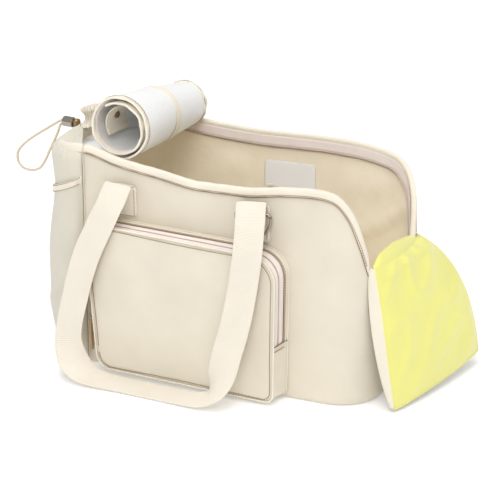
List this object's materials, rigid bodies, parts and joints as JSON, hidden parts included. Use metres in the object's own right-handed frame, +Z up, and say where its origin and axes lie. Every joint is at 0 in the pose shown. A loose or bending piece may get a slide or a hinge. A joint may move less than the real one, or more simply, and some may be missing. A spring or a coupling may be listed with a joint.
{
  "type": "pet carrier bag",
  "caption": "Soft pet carrier tote: padded fabric tub with a zipped front pocket, webbing handles, fold-down end flap, rolled mesh cover and a drawstring pouch on the closed end.",
  "frame": {"origin": "middle of the underside of the tub", "axes": "+Z up; +X along the length towards the end with the fold-down flap; the front wall with the zipped pocket faces -Y"},
  "size_m": [0.6019, 0.3644, 0.3518],
  "materials": {
    "shell_fabric": "matte cotton-like weave",
    "trim_fabric": "matte fine weave",
    "lining_fabric": "smooth nylon",
    "flap_fabric": "smooth nylon",
    "webbing": "ribbed webbing",
    "mesh_fabric": "open mesh",
    "zip_fabric": "woven tape",
    "nickel": "polished",
    "antique_brass": "antiqued",
    "tan_leather": "smooth",
    "base_board": "matte",
    "label_fabric": "satin",
    "cord": "braided"
  },
  "bodies": {
    "tub": {"base_panel": "shell_fabric", "base_board": "base_board", "front_panel": "shell_fabric", "end_wall": "shell_fabric", "back_panel": "shell_fabric", "left_end_panel": "shell_fabric", "lining": "lining_fabric", "rim_binding_front": "trim_fabric", "rim_binding_back": "trim_fabric", "rim_binding_left": "trim_fabric", "zip_tape_front": "zip_fabric", "zip_tape_back": "zip_fabric", "pocket_face": "shell_fabric", "pocket_zip_tape": "zip_fabric", "pocket_gusset": "shell_fabric", "front_handle_base_left": "webbing", "front_handle_base_right": "webbing", "back_handle_base_left": "webbing", "back_handle_base_right": "webbing", "front_ring_tab": "webbing", "back_ring_tab": "webbing", "flap_fold": "trim_fabric", "cover_base": "mesh_fabric", "cover_slider_front": "nickel", "cover_slider_back": "nickel", "drawstring_pouch": "shell_fabric", "end_pocket": "shell_fabric", "end_pocket_hem": "trim_fabric", "gathered_neck": "trim_fabric", "cord_lock_barrel": "nickel", "drawcord": "cord", "care_label": "label_fabric", "tether_tab": "webbing"},
    "end_flap": {"flap_lining": "flap_fabric", "flap_shell": "shell_fabric", "flap_gusset_front": "trim_fabric", "flap_gusset_back": "trim_fabric"},
    "top_cover": {"cover_roll": "mesh_fabric", "cover_binding_front": "trim_fabric", "cover_binding_back": "trim_fabric", "cover_band": "trim_fabric", "cover_tab": "shell_fabric", "cover_snap": "antique_brass"},
    "front_handle": {"front_handle": "webbing"},
    "back_handle": {"back_handle": "webbing"},
    "front_d_ring": {"front_d_ring": "nickel"},
    "back_d_ring": {"back_d_ring": "nickel"},
    "pocket_slider": {"pocket_slider": "nickel"},
    "pocket_pull": {"pocket_pull_link": "nickel", "pocket_pull_tab": "tan_leather"},
    "base_mat": {"base_mat": "lining_fabric"},
    "lock_plunger": {"cord_lock_plunger": "antique_brass"},
    "tether_ring": {"tether_ring": "nickel"}
  },
  "joints": [
    {"name": "flap_fold_down", "type": "hinge", "parent": "tub", "child": "end_flap", "pos_m": [0.2205, 0, 0.17], "axis": [0, -1, 0], "range_deg": [0, 130]},
    {"name": "cover_lift", "type": "hinge", "parent": "tub", "child": "top_cover", "pos_m": [-0.159, 0, 0.2735], "axis": [0, -1, 0], "range_deg": [0, 30]},
    {"name": "front_handle_swing", "type": "hinge", "parent": "tub", "child": "front_handle", "pos_m": [0, -0.115, 0.244], "axis": [-1, 0, 0], "range_deg": [0, 150]},
    {"name": "back_handle_swing", "type": "hinge", "parent": "tub", "child": "back_handle", "pos_m": [-0.034, 0.115, 0.244], "axis": [1, 0, 0], "range_deg": [0, 150]},
    {"name": "front_d_ring_swing", "type": "hinge", "parent": "tub", "child": "front_d_ring", "pos_m": [0.0715, -0.1103, 0.2325], "axis": [-1, 0, 0], "range_deg": [0, 40]},
    {"name": "back_d_ring_swing", "type": "hinge", "parent": "tub", "child": "back_d_ring", "pos_m": [-0.1055, 0.1103, 0.2325], "axis": [1, 0, 0], "range_deg": [0, 40]},
    {"name": "pocket_zip", "type": "slide", "parent": "tub", "child": "pocket_slider", "axis": [-0.0696, 0, 0.9976], "range_m": [0, 0.05]},
    {"name": "pocket_pull_swing", "type": "hinge", "parent": "pocket_slider", "child": "pocket_pull", "pos_m": [-0.14776, -0.11814, 0.09511], "axis": [0, 1, 0], "range_deg": [0, 15]},
    {"name": "mat_lift", "type": "slide", "parent": "tub", "child": "base_mat", "axis": [0, 0, 1], "range_m": [0, 0.15]},
    {"name": "lock_press", "type": "slide", "parent": "tub", "child": "lock_plunger", "axis": [-0.9988, 0, 0.0499], "range_m": [0, 0.003], "stiffness_N_per_m": 800},
    {"name": "tether_ring_swing", "type": "hinge", "parent": "tub", "child": "tether_ring", "pos_m": [0.006, 0.0937, 0.2], "axis": [-1, 0, 0], "range_deg": [0, 85]}
  ]
}
